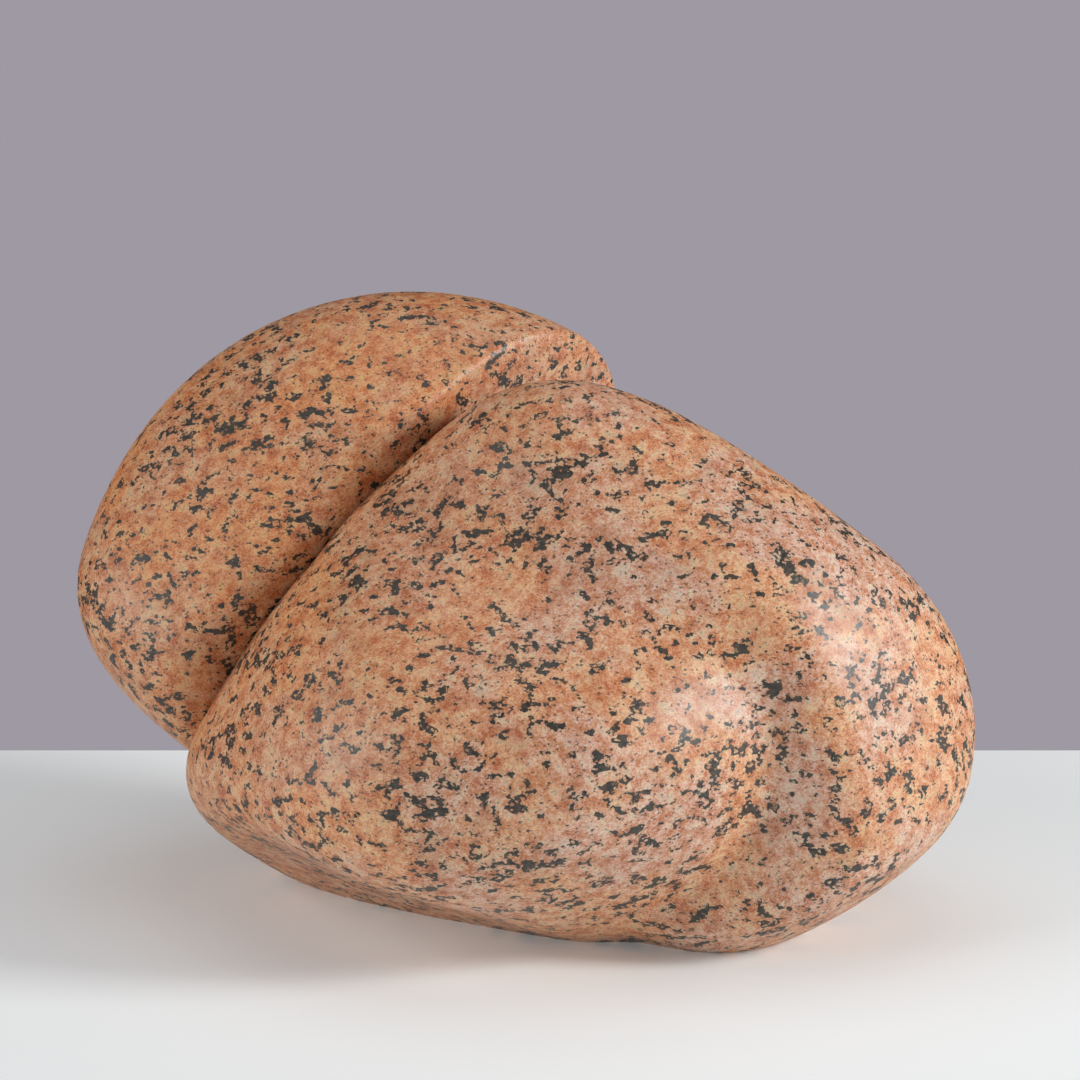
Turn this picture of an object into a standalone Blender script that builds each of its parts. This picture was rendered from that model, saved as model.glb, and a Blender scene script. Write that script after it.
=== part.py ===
"""Abstract sculpture carved from one block of red granite.

Metres, +Z up. The stone rests on its planed underside. X runs along its length, from the hood
to the far end of the body, and -Y faces the viewer of the front.

The form is a set of rounded masses that run into each other. Each mass is an ellipsoid of stone,
with its place, half sizes and pose as shares of the stone's length. Planed facets take off its
sides, and swells and hollows are rubbed into it. The hood is cut off by a slightly bowed face,
and the body rises out of that face, which leaves the crisp groove between the two.
"""

from dataclasses import dataclass
from math import cos, pi, radians, sin

import bmesh
import bpy
import numpy as np
from mathutils import Euler

# Driving sizes, in metres
STONE_LENGTH = 0.361
RIM_ROUND_AT_TOP = 0.0035
RIM_ROUND_AT_FOOT = 0.011
UNDERSIDE_LEVEL = 0.0

# Fineness of the surface
BODY_SUBDIVISIONS = 6
HOOD_MERIDIANS = 128
HOOD_RINGS_EACH_SIDE = 20
RING_CROWDING = 1.8
BODY_FACES_KEPT = 0.44
HOOD_FACES_KEPT = 0.62
RAY_STEPS = 80
HALVINGS = 22
SHARP_EDGE_DEGREES = 35.0
SMALLEST_LENGTH = 1e-9
FLAT_WITHIN = 1e-6
SLIVER_WIDTH = 2e-5

# Finish
GRANITE_COLOUR = (0.53, 0.27, 0.18, 1.0)
GRANITE_ROUGHNESS = 0.42


@dataclass(frozen=True)
class Lobe:
    """An ellipsoid of stone: centre and half sizes as shares of the length, turned by degrees."""

    centre: tuple
    half: tuple
    turn: tuple

    def axes(self):
        return np.array(Euler([radians(angle) for angle in self.turn]).to_matrix())

    def depth(self, points):
        """Roughly the distance outside the ellipsoid, negative inside it."""
        half = np.array(self.half) * STONE_LENGTH
        local = (points - np.array(self.centre) * STONE_LENGTH) @ self.axes()
        near = np.linalg.norm(local / half, axis=-1)
        slope = np.linalg.norm(local / half**2, axis=-1)
        return near * (near - 1.0) / np.maximum(slope, SMALLEST_LENGTH)


@dataclass(frozen=True)
class Facet:
    """A planed side: a point on it, its outward heading and rise in degrees, its soft edge."""

    point: tuple
    heading: float
    rise: float
    soft: float

    def planed(self, points, depth):
        """The depth of a mass after this side is planed off it."""
        heading, rise = radians(self.heading), radians(self.rise)
        outward = np.array((cos(rise) * cos(heading), cos(rise) * sin(heading), sin(rise)))
        proud = (points - np.array(self.point) * STONE_LENGTH) @ outward
        return shared(depth, proud, self.soft * STONE_LENGTH)


@dataclass(frozen=True)
class Swell:
    """A swelling rubbed into a mass, or a hollow where its height is below nothing."""

    centre: tuple
    spread: float
    height: float

    def raised(self, points, depth):
        """The depth of a mass after this swelling is added to it."""
        away = points - np.array(self.centre) * STONE_LENGTH
        spread = self.spread * STONE_LENGTH
        return depth - self.height * STONE_LENGTH * np.exp(-(away**2).sum(-1) / spread**2)


# The hood: a thick shell-like mass at the left and back
HOOD = Lobe(centre=(-0.12, 0.125, 0.30), half=(0.385, 0.405, 0.215), turn=(55, -25, 15))
HOOD_UNDERSIDE = Facet(point=(-0.44, -0.03, 0.20), heading=-160, rise=-60, soft=0.16)
HOOD_BROW_HOLLOW = Swell(centre=(-0.34, -0.11, 0.51), spread=0.15, height=-0.035)
HOOD_CHEEK = Swell(centre=(-0.525, -0.025, 0.34), spread=0.165, height=0.03)
HOOD_CROWN_HOLLOW = Swell(centre=(-0.11, -0.045, 0.605), spread=0.155, height=-0.015)

# The face that cuts the hood off: its own X climbs along the rim and its Z faces outwards
CUT_POINT = (-0.27, -0.055, 0.53)
CUT_TURN = (112, -57, 20)
CUT_BOW = (0.225, -0.19, 0.06)
RIM_FOOT = -0.055
RIM_TOP = 0.22

# The shoulder, which the haunch and the knee grow out of
SHOULDER = Lobe(centre=(0.06, -0.035, 0.335), half=(0.275, 0.23, 0.185), turn=(70, 50, -20))
SHOULDER_HOLLOW = Swell(centre=(-0.03, -0.155, 0.465), spread=0.145, height=-0.05)
SHOULDER_FLAT = Swell(centre=(0.115, -0.145, 0.49), spread=0.15, height=-0.04)
GROOVE_HOLLOW = Swell(centre=(-0.10, -0.04, 0.50), spread=0.12, height=-0.055)

# The haunch, on the right: planed at its side, at its front and in a bevel below
HAUNCH = Lobe(centre=(0.275, -0.04, 0.20), half=(0.215, 0.23, 0.205), turn=(72, 40, -10))
HAUNCH_BEVEL = Facet(point=(0.41, -0.065, 0.04), heading=-35, rise=-55, soft=0.065)
HAUNCH_SIDE = Facet(point=(0.31, -0.225, 0.24), heading=-57, rise=20, soft=0.05)
HAUNCH_FRONT = Facet(point=(0.32, -0.23, 0.20), heading=-97, rise=2, soft=0.02)
SHOULDER_TO_HAUNCH = 0.22

# The knee, in front: a crowned mass with a planed tip, underside, bevel and side
KNEE = Lobe(centre=(-0.07, -0.055, 0.125), half=(0.34, 0.295, 0.235), turn=(75, -30, -10))
KNEE_CROWN = Swell(centre=(0.06, -0.31, 0.265), spread=0.125, height=0.045)
KNEE_CHEEK = Swell(centre=(-0.16, -0.275, 0.215), spread=0.145, height=0.035)
KNEE_TIP = Facet(point=(-0.34, -0.165, 0.155), heading=-130, rise=-25, soft=0.015)
KNEE_UNDERSIDE = Facet(point=(-0.13, -0.14, 0.08), heading=-125, rise=-65, soft=0.095)
KNEE_BEVEL = Facet(point=(0.155, -0.21, 0.135), heading=-55, rise=-38, soft=0.06)
KNEE_SIDE = Facet(point=(0.20, -0.26, 0.24), heading=-30, rise=-5, soft=0.04)
SHOULDER_TO_KNEE = 0.19

# The heel, low at the back, which the stone rests on
HEEL = Lobe(centre=(0.0, 0.125, 0.125), half=(0.28, 0.15, 0.165), turn=(0, 0, 0))
SHOULDER_TO_HEEL = 0.165

# The valley between haunch and knee: crisp low down, fading out higher up
VALLEY_SOFT_LOW = 0.012
VALLEY_SOFT_HIGH = 0.10
VALLEY_LOW = 0.28
VALLEY_HIGH = 0.47

# The middle that the body's surface is laid out from, and how far it spreads each way
BODY_MIDDLE = (0.06, -0.01, 0.25)
BODY_SPREAD = (0.45, 0.30, 0.28)


def shared(first, second, soft):
    """What lies in both masses, with the edge between them rounded over the soft width."""
    blend = np.maximum(soft - np.abs(first - second), 0.0) / soft
    return np.maximum(first, second) + blend**2 * soft / 4.0


def joined(first, second, soft):
    """What lies in either mass, with the valley between them filled over the soft width."""
    return -shared(-first, -second, soft)


def eased(value, low, high):
    """Rises smoothly from 0 at low to 1 at high."""
    step = np.clip((value - low) / (high - low), 0.0, 1.0)
    return step**2 * (3.0 - 2.0 * step)


def dome_depth(points):
    """The hood before it is cut off."""
    depth = HOOD.depth(points)
    for swell in (HOOD_BROW_HOLLOW, HOOD_CHEEK, HOOD_CROWN_HOLLOW):
        depth = swell.raised(points, depth)
    return HOOD_UNDERSIDE.planed(points, depth)


def cut_axes():
    return np.array(Euler([radians(angle) for angle in CUT_TURN]).to_matrix())


def cut_depth(points):
    """How far a point stands proud of the bowed face that cuts the hood off."""
    local = (points - np.array(CUT_POINT) * STONE_LENGTH) @ cut_axes()
    climb, inward, proud = local[..., 0], local[..., 1], local[..., 2]
    bow = CUT_BOW[0] * climb**2 + CUT_BOW[1] * climb * inward + CUT_BOW[2] * inward**2
    return proud + bow / STONE_LENGTH


def hood_depth(points):
    """The hood, cut off by its bowed face, with a rim that is crisp at the top."""
    climb = (points - np.array(CUT_POINT) * STONE_LENGTH) @ cut_axes()[:, 0]
    top = eased(climb, RIM_FOOT * STONE_LENGTH, RIM_TOP * STONE_LENGTH)
    rounding = RIM_ROUND_AT_FOOT + (RIM_ROUND_AT_TOP - RIM_ROUND_AT_FOOT) * top
    return shared(dome_depth(points), cut_depth(points), rounding)


def body_depth(points):
    """Shoulder, haunch, knee and heel, with the valley that opens between haunch and knee."""
    shoulder = SHOULDER.depth(points)
    haunch = HAUNCH_BEVEL.planed(points, HAUNCH.depth(points))
    haunch = HAUNCH_SIDE.planed(points, haunch)
    haunch = joined(haunch, shoulder, SHOULDER_TO_HAUNCH * STONE_LENGTH)
    haunch = HAUNCH_FRONT.planed(points, haunch)
    knee = KNEE_CROWN.raised(points, KNEE.depth(points))
    for facet in (KNEE_TIP, KNEE_UNDERSIDE, KNEE_BEVEL, KNEE_SIDE):
        knee = facet.planed(points, knee)
    knee = joined(knee, shoulder, SHOULDER_TO_KNEE * STONE_LENGTH)
    high = eased(points[..., 2], VALLEY_LOW * STONE_LENGTH, VALLEY_HIGH * STONE_LENGTH)
    valley = VALLEY_SOFT_LOW + (VALLEY_SOFT_HIGH - VALLEY_SOFT_LOW) * high
    depth = joined(haunch, knee, valley * STONE_LENGTH)
    depth = joined(depth, HEEL.depth(points), SHOULDER_TO_HEEL * STONE_LENGTH)
    for swell in (SHOULDER_HOLLOW, SHOULDER_FLAT, GROOVE_HOLLOW, KNEE_CHEEK):
        depth = swell.raised(points, depth)
    return depth


def surface_points(directions, centre, depth_of):
    """The outermost point of a mass along each direction from a centre inside it."""
    reach = STONE_LENGTH
    radii = np.linspace(reach, 0.0, RAY_STEPS)
    outer = np.full(directions.shape[:-1], reach)
    inner = np.zeros(directions.shape[:-1])
    searching = np.ones(directions.shape[:-1], dtype=bool)
    for before, radius in zip(radii[:-1], radii[1:]):
        inside = depth_of(centre + directions * radius) < 0.0
        found = searching & inside
        outer[found] = before
        inner[found] = radius
        searching &= ~inside
    for _ in range(HALVINGS):
        middle = (outer + inner) / 2.0
        inside = depth_of(centre + directions * middle[..., None]) < 0.0
        inner = np.where(inside, middle, inner)
        outer = np.where(inside, outer, middle)
    return centre + directions * ((outer + inner) / 2.0)[..., None]


def linked(name, shell):
    """Turns a finished shell into an object in the scene."""
    bmesh.ops.triangulate(shell, faces=shell.faces)
    bmesh.ops.recalc_face_normals(shell, faces=shell.faces)
    mesh = bpy.data.meshes.new(name)
    shell.to_mesh(mesh)
    shell.free()
    shape = bpy.data.objects.new(name, mesh)
    bpy.context.scene.collection.objects.link(shape)
    return shape


def body_shell():
    """The closed shell of the body, seen outwards from its middle."""
    ball = bmesh.new()
    bmesh.ops.create_icosphere(ball, subdivisions=BODY_SUBDIVISIONS, radius=1.0)
    directions = np.array([vertex.co for vertex in ball.verts]) * np.array(BODY_SPREAD)
    directions /= np.linalg.norm(directions, axis=-1, keepdims=True)
    centre = np.array(BODY_MIDDLE) * STONE_LENGTH
    for vertex, point in zip(ball.verts, surface_points(directions, centre, body_depth)):
        vertex.co = point
    return linked("body_mass", ball)


def turned_from(pole_angles, meridians):
    """Directions at angles from the cut face's outward axis, along meridians round it."""
    across, along, pole = cut_axes().T
    spoke = np.cos(meridians)[..., None] * across + np.sin(meridians)[..., None] * along
    return np.cos(pole_angles)[..., None] * pole + np.sin(pole_angles)[..., None] * spoke


def rim_angles(centre, meridians):
    """The angle from the cut face's axis to the rim, along each meridian."""
    on_face = np.zeros(len(meridians))
    on_dome = np.full(len(meridians), pi)
    for _ in range(HALVINGS):
        middle = (on_face + on_dome) / 2.0
        points = surface_points(turned_from(middle, meridians), centre, dome_depth)
        cut_away = cut_depth(points) > 0.0
        on_face = np.where(cut_away, middle, on_face)
        on_dome = np.where(cut_away, on_dome, middle)
    return (on_face + on_dome) / 2.0


def hood_shell():
    """The closed shell of the hood, in rings that follow its rim and crowd towards it."""
    centre = np.array(HOOD.centre) * STONE_LENGTH
    meridians = np.linspace(0.0, 2.0 * pi, HOOD_MERIDIANS, endpoint=False)
    rim = rim_angles(centre, meridians)
    steps = np.arange(HOOD_RINGS_EACH_SIDE) / HOOD_RINGS_EACH_SIDE
    crowded = steps**RING_CROWDING
    face_rings = [rim * (1.0 - share) for share in crowded[:0:-1]]
    dome_rings = [rim + (pi - rim) * share for share in crowded]
    poles = np.array([0.0, pi])
    shell = bmesh.new()
    first, last = [
        shell.verts.new(point)
        for point in surface_points(turned_from(poles, np.zeros(2)), centre, hood_depth)
    ]
    rings = []
    for ring in face_rings + dome_rings:
        points = surface_points(turned_from(ring, meridians), centre, hood_depth)
        rings.append([shell.verts.new(point) for point in points])
    for here in range(HOOD_MERIDIANS):
        there = (here + 1) % HOOD_MERIDIANS
        shell.faces.new((first, rings[0][here], rings[0][there]))
        shell.faces.new((last, rings[-1][there], rings[-1][here]))
        for near, far in zip(rings[:-1], rings[1:]):
            shell.faces.new((near[here], far[here], far[there], near[there]))
    return linked("hood_mass", shell)


def guide(shape):
    """Keeps a helper shape out of the render."""
    shape.hide_render = True
    shape.display_type = "WIRE"
    return shape


def block_below(name, level):
    """A square block whose top is at a level, to plane the underside with."""
    side = 2.0 * STONE_LENGTH
    block = bmesh.new()
    bmesh.ops.create_cube(block, size=side)
    bmesh.ops.translate(block, verts=block.verts, vec=(0.0, 0.0, level - side / 2.0))
    return linked(name, block)


def combine(shape, name, operation, other):
    """Adds an exact Boolean modifier."""
    modifier = shape.modifiers.new(name, "BOOLEAN")
    modifier.operation = operation
    modifier.solver = "EXACT"
    modifier.object = other


def thin(shape, share):
    """Keeps a share of the triangles, most of them where the form bends most."""
    modifier = shape.modifiers.new("fewer_faces", "DECIMATE")
    modifier.ratio = share


def evaluated_mesh(shape):
    """The shape's mesh with its modifiers applied."""
    graph = bpy.context.evaluated_depsgraph_get()
    return bpy.data.meshes.new_from_object(shape.evaluated_get(graph), depsgraph=graph)


def stand_on_origin(mesh):
    """Moves the mesh so that its box is centred on the origin and stands on it."""
    points = np.array([vertex.co for vertex in mesh.vertices])
    low, high = points.min(axis=0), points.max(axis=0)
    shift = np.array(((low[0] + high[0]) / 2.0, (low[1] + high[1]) / 2.0, low[2]))
    mesh.vertices.foreach_set("co", (points - shift).ravel())
    mesh.update()


def shade(mesh):
    """Smooth all over, but for steep edges and the whole edge of the underside."""
    mesh.shade_smooth()
    mesh.set_sharp_from_angle(angle=radians(SHARP_EDGE_DEGREES))
    edge_of = {tuple(sorted(edge.vertices)): edge for edge in mesh.edges}
    for face in mesh.polygons:
        if max(mesh.vertices[corner].co.z for corner in face.vertices) < FLAT_WITHIN:
            for pair in face.edge_keys:
                edge_of[pair].use_edge_sharp = True


def granite():
    """Honed red granite."""
    material = bpy.data.materials.new("red_granite")
    material.use_nodes = True
    shader = material.node_tree.nodes["Principled BSDF"]
    shader.inputs["Base Color"].default_value = GRANITE_COLOUR
    shader.inputs["Roughness"].default_value = GRANITE_ROUGHNESS
    shader.inputs["Metallic"].default_value = 0.0
    material.diffuse_color = GRANITE_COLOUR
    return material


def clear_scene():
    for shape in list(bpy.data.objects):
        bpy.data.objects.remove(shape, do_unlink=True)


def main():
    clear_scene()
    body = body_shell()
    hood = guide(hood_shell())
    bed = guide(block_below("bed_block", UNDERSIDE_LEVEL * STONE_LENGTH))
    thin(body, BODY_FACES_KEPT)
    thin(hood, HOOD_FACES_KEPT)
    combine(body, "join_hood", "UNION", hood)
    combine(body, "plane_underside", "DIFFERENCE", bed)
    tidied = body.modifiers.new("no_slivers", "WELD")
    tidied.merge_threshold = SLIVER_WIDTH
    mesh = evaluated_mesh(body)
    mesh.name = "granite_form"
    for helper in (body, hood, bed):
        bpy.data.objects.remove(helper, do_unlink=True)
    stand_on_origin(mesh)
    shade(mesh)
    mesh.materials.clear()
    mesh.materials.append(granite())
    stone = bpy.data.objects.new("granite_form", mesh)
    bpy.context.scene.collection.objects.link(stone)


main()
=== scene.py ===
"""Looks of the abstract sculpture: one honed block of reddish-pink granite, standing on a pale floor.

The carved form is built again at a finer size than the CAD solid, from the same named shares of the
stone's length, then given the slight unevenness of hand honing. The stone's grain is a solid pattern
in its own Object coordinates, so that it runs through every face as it does in a real block.
"""

import logging
from dataclasses import dataclass
from enum import Enum
from math import cos, pi, radians, sin
from typing import Callable

import bmesh
import bpy
import numpy as np
from mathutils import Euler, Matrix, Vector


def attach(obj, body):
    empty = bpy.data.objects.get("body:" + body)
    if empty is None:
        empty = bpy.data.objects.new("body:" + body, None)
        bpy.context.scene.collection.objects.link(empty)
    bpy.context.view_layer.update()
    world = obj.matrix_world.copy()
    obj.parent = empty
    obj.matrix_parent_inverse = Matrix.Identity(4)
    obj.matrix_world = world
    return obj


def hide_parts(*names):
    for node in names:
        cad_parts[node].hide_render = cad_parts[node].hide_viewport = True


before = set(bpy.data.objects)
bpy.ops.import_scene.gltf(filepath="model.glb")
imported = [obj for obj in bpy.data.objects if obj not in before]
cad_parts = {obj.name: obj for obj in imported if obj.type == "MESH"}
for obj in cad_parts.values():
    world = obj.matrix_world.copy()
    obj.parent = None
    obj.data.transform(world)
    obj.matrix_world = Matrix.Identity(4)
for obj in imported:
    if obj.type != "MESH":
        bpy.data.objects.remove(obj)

logging.basicConfig(level=logging.INFO, format="%(levelname)s %(message)s")
log = logging.getLogger("sculpture")

Depth = Callable[[np.ndarray], np.ndarray]
Triple = tuple[float, float, float]

STONE_LENGTH = 0.361
SMALLEST_LENGTH = 1e-9
FLAT_WITHIN = 1e-6
SEARCH_STEPS = 80
HALVINGS = 20
HALFWAY = 0.5
FRAY_DETAIL = 2.0


class Operation(Enum):
    """What a Boolean does with the second shape."""

    JOIN = "UNION"
    CUT = "DIFFERENCE"


def shared(first: np.ndarray, second: np.ndarray, soft: np.ndarray | float) -> np.ndarray:
    """Depth of what lies in both masses.

    Args:
        first: depth of the first mass, negative inside it.
        second: depth of the second mass.
        soft: width in metres over which the edge between them is rounded.

    Returns:
        The depth of the common mass.
    """
    blend = np.maximum(soft - np.abs(first - second), 0.0) / soft
    return np.maximum(first, second) + blend**2 * soft / 4.0


def joined(first: np.ndarray, second: np.ndarray, soft: np.ndarray | float) -> np.ndarray:
    """Depth of what lies in either mass.

    Args:
        first: depth of the first mass, negative inside it.
        second: depth of the second mass.
        soft: width in metres over which the valley between them is filled.

    Returns:
        The depth of the joined mass.
    """
    return -shared(-first, -second, soft)


def eased(value: np.ndarray, low: float, high: float) -> np.ndarray:
    """Smooth rise from 0 to 1.

    Args:
        value: where along the rise.
        low: value at which it is still 0.
        high: value at which it has reached 1.

    Returns:
        The eased share, between 0 and 1.
    """
    step = np.clip((value - low) / (high - low), 0.0, 1.0)
    return step**2 * (3.0 - 2.0 * step)


def turned_axes(degrees: Triple) -> np.ndarray:
    """Axes of a turned mass.

    Args:
        degrees: turns about X, Y and Z.

    Returns:
        A matrix whose columns are the turned axes.
    """
    return np.array(Euler([radians(angle) for angle in degrees]).to_matrix())


def in_metres(shares: Triple) -> np.ndarray:
    """Metres from shares of the stone's length.

    Args:
        shares: three shares.

    Returns:
        The same in metres.
    """
    return np.array(shares) * STONE_LENGTH


@dataclass(frozen=True)
class Lobe:
    """An ellipsoid of stone, in shares of the stone's length and degrees."""

    centre: Triple
    half: Triple
    turn: Triple

    def depth(self, points: np.ndarray) -> np.ndarray:
        """Rough distance outside the ellipsoid.

        Args:
            points: places in metres.

        Returns:
            Metres outside, negative inside.
        """
        half = in_metres(self.half)
        local = (points - in_metres(self.centre)) @ turned_axes(self.turn)
        near = np.linalg.norm(local / half, axis=-1)
        slope = np.linalg.norm(local / half**2, axis=-1)
        return near * (near - 1.0) / np.maximum(slope, SMALLEST_LENGTH)


@dataclass(frozen=True)
class Facet:
    """A planed side: a point on it, its outward heading and rise in degrees, its soft edge."""

    point: Triple
    heading: float
    rise: float
    soft: float

    def planed(self, points: np.ndarray, depth: np.ndarray) -> np.ndarray:
        """Takes this side off a mass.

        Args:
            points: places in metres.
            depth: depth of the mass there.

        Returns:
            Depth of the planed mass.
        """
        heading, rise = radians(self.heading), radians(self.rise)
        outward = np.array((cos(rise) * cos(heading), cos(rise) * sin(heading), sin(rise)))
        proud = (points - in_metres(self.point)) @ outward
        return shared(depth, proud, self.soft * STONE_LENGTH)


@dataclass(frozen=True)
class Swell:
    """A swelling rubbed into a mass, or a hollow where its height is below nothing."""

    centre: Triple
    spread: float
    height: float

    def raised(self, points: np.ndarray, depth: np.ndarray) -> np.ndarray:
        """Adds this swelling to a mass.

        Args:
            points: places in metres.
            depth: depth of the mass there.

        Returns:
            Depth of the swollen mass.
        """
        away = ((points - in_metres(self.centre)) ** 2).sum(axis=-1)
        spread = self.spread * STONE_LENGTH
        return depth - self.height * STONE_LENGTH * np.exp(-away / spread**2)


@dataclass(frozen=True)
class CutFace:
    """The bowed face that cuts the hood off: its X climbs along the rim, its Z faces outwards."""

    point: Triple = (-0.27, -0.055, 0.53)
    turn: Triple = (112, -57, 20)
    bow: Triple = (0.225, -0.19, 0.06)
    rim_foot: float = -0.055
    rim_top: float = 0.22
    round_at_top: float = 0.0035
    round_at_foot: float = 0.011

    def local(self, points: np.ndarray) -> np.ndarray:
        """Places in the face's own axes.

        Args:
            points: places in metres.

        Returns:
            The same places, climbing, inward and proud.
        """
        return (points - in_metres(self.point)) @ turned_axes(self.turn)

    def depth(self, points: np.ndarray) -> np.ndarray:
        """How far a place stands proud of the face.

        Args:
            points: places in metres.

        Returns:
            Metres proud, negative behind the face.
        """
        climb, inward, proud = np.moveaxis(self.local(points), -1, 0)
        along, skew, across = self.bow
        bow = along * climb**2 + skew * climb * inward + across * inward**2
        return proud + bow / STONE_LENGTH

    def rounding(self, points: np.ndarray) -> np.ndarray:
        """Width over which the rim is rounded.

        Args:
            points: places in metres.

        Returns:
            Metres, small at the top of the rim and wide at its foot.
        """
        climb = self.local(points)[..., 0]
        top = eased(climb, self.rim_foot * STONE_LENGTH, self.rim_top * STONE_LENGTH)
        return self.round_at_foot + (self.round_at_top - self.round_at_foot) * top


def outermost(directions: np.ndarray, centre: np.ndarray, depth_of: Depth) -> np.ndarray:
    """Outermost points of a mass.

    Args:
        directions: unit directions.
        centre: place inside the mass, in metres.
        depth_of: depth of the mass at any place.

    Returns:
        One point of the surface for each direction.
    """
    radii = np.linspace(STONE_LENGTH, 0.0, SEARCH_STEPS)
    outer = np.full(directions.shape[:-1], STONE_LENGTH)
    inner = np.zeros(directions.shape[:-1])
    searching = np.ones(directions.shape[:-1], dtype=bool)
    for before, radius in zip(radii[:-1], radii[1:]):
        inside = np.zeros_like(searching)
        inside[searching] = depth_of(centre + directions[searching] * radius) < 0.0
        outer[inside] = before
        inner[inside] = radius
        searching &= ~inside
    for _ in range(HALVINGS):
        middle = (outer + inner) / 2.0
        inside = depth_of(centre + directions * middle[..., None]) < 0.0
        inner = np.where(inside, middle, inner)
        outer = np.where(inside, outer, middle)
    return centre + directions * ((outer + inner) / 2.0)[..., None]


def linked(name: str, shell: bmesh.types.BMesh) -> bpy.types.Object:
    """Puts a finished shell into the scene.

    Args:
        name: name of the object.
        shell: closed shell, freed here.

    Returns:
        The new object.
    """
    bmesh.ops.triangulate(shell, faces=shell.faces)
    bmesh.ops.recalc_face_normals(shell, faces=shell.faces)
    mesh = bpy.data.meshes.new(name)
    shell.to_mesh(mesh)
    shell.free()
    shape = bpy.data.objects.new(name, mesh)
    bpy.context.scene.collection.objects.link(shape)
    return shape


@dataclass(frozen=True)
class Hood:
    """The thick shell-like mass at the left and back, with its bowed cut face."""

    lobe: Lobe = Lobe(centre=(-0.12, 0.125, 0.30), half=(0.385, 0.405, 0.215), turn=(55, -25, 15))
    underside: Facet = Facet(point=(-0.44, -0.03, 0.20), heading=-160, rise=-60, soft=0.16)
    brow_hollow: Swell = Swell(centre=(-0.34, -0.11, 0.51), spread=0.15, height=-0.035)
    cheek: Swell = Swell(centre=(-0.525, -0.025, 0.34), spread=0.165, height=0.03)
    crown_hollow: Swell = Swell(centre=(-0.11, -0.045, 0.605), spread=0.155, height=-0.015)
    cut: CutFace = CutFace()
    meridians: int = 320
    rings_each_side: int = 52
    crowding: float = 1.6

    def dome_depth(self, points: np.ndarray) -> np.ndarray:
        """Depth of the hood before it is cut off.

        Args:
            points: places in metres.

        Returns:
            Metres outside, negative inside.
        """
        depth = self.lobe.depth(points)
        for swell in (self.brow_hollow, self.cheek, self.crown_hollow):
            depth = swell.raised(points, depth)
        return self.underside.planed(points, depth)

    def depth(self, points: np.ndarray) -> np.ndarray:
        """Depth of the finished hood.

        Args:
            points: places in metres.

        Returns:
            Metres outside, negative inside.
        """
        return shared(self.dome_depth(points), self.cut.depth(points), self.cut.rounding(points))

    def directions(self, pole_angles: np.ndarray, meridians: np.ndarray) -> np.ndarray:
        """Directions round the cut face's outward axis.

        Args:
            pole_angles: angles from that axis, in radians.
            meridians: angles round it, in radians.

        Returns:
            Unit directions.
        """
        across, along, pole = turned_axes(self.cut.turn).T
        spoke = np.cos(meridians)[..., None] * across + np.sin(meridians)[..., None] * along
        return np.cos(pole_angles)[..., None] * pole + np.sin(pole_angles)[..., None] * spoke

    def rim_angles(self, meridians: np.ndarray) -> np.ndarray:
        """Angle from the cut face's axis to the rim.

        Args:
            meridians: angles round the axis, in radians.

        Returns:
            One angle for each meridian, in radians.
        """
        centre = in_metres(self.lobe.centre)
        on_face = np.zeros(len(meridians))
        on_dome = np.full(len(meridians), pi)
        for _ in range(HALVINGS):
            middle = (on_face + on_dome) / 2.0
            points = outermost(self.directions(middle, meridians), centre, self.dome_depth)
            cut_away = self.cut.depth(points) > 0.0
            on_face = np.where(cut_away, middle, on_face)
            on_dome = np.where(cut_away, on_dome, middle)
        return (on_face + on_dome) / 2.0

    def build(self) -> bpy.types.Object:
        """Builds the hood in rings that follow its rim and crowd towards it.

        Returns:
            A closed shell.
        """
        centre = in_metres(self.lobe.centre)
        meridians = np.linspace(0.0, 2.0 * pi, self.meridians, endpoint=False)
        rim = self.rim_angles(meridians)
        crowded = (np.arange(self.rings_each_side) / self.rings_each_side) ** self.crowding
        angles = [rim * (1.0 - share) for share in crowded[:0:-1]]
        angles += [rim + (pi - rim) * share for share in crowded]
        ends = outermost(self.directions(np.array([0.0, pi]), np.zeros(2)), centre, self.depth)
        shell = bmesh.new()
        first, last = [shell.verts.new(point) for point in ends]
        rings = []
        for ring in angles:
            points = outermost(self.directions(ring, meridians), centre, self.depth)
            rings.append([shell.verts.new(point) for point in points])
        for here in range(self.meridians):
            there = (here + 1) % self.meridians
            shell.faces.new((first, rings[0][here], rings[0][there]))
            shell.faces.new((last, rings[-1][there], rings[-1][here]))
            for near, far in zip(rings[:-1], rings[1:]):
                shell.faces.new((near[here], far[here], far[there], near[there]))
        log.info("hood shell: %d faces", len(shell.faces))
        return linked("hood_mass", shell)


@dataclass(frozen=True)
class Shoulder:
    """The high mass beside the groove, which the haunch and the knee grow out of."""

    lobe: Lobe = Lobe(centre=(0.06, -0.035, 0.335), half=(0.275, 0.23, 0.185), turn=(70, 50, -20))
    hollow: Swell = Swell(centre=(-0.03, -0.155, 0.465), spread=0.145, height=-0.05)
    flat: Swell = Swell(centre=(0.115, -0.145, 0.49), spread=0.15, height=-0.04)
    groove_hollow: Swell = Swell(centre=(-0.10, -0.04, 0.50), spread=0.12, height=-0.055)

    @property
    def hollows(self) -> tuple[Swell, ...]:
        """The hollows that are rubbed in once the body is joined."""
        return (self.hollow, self.flat, self.groove_hollow)


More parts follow.
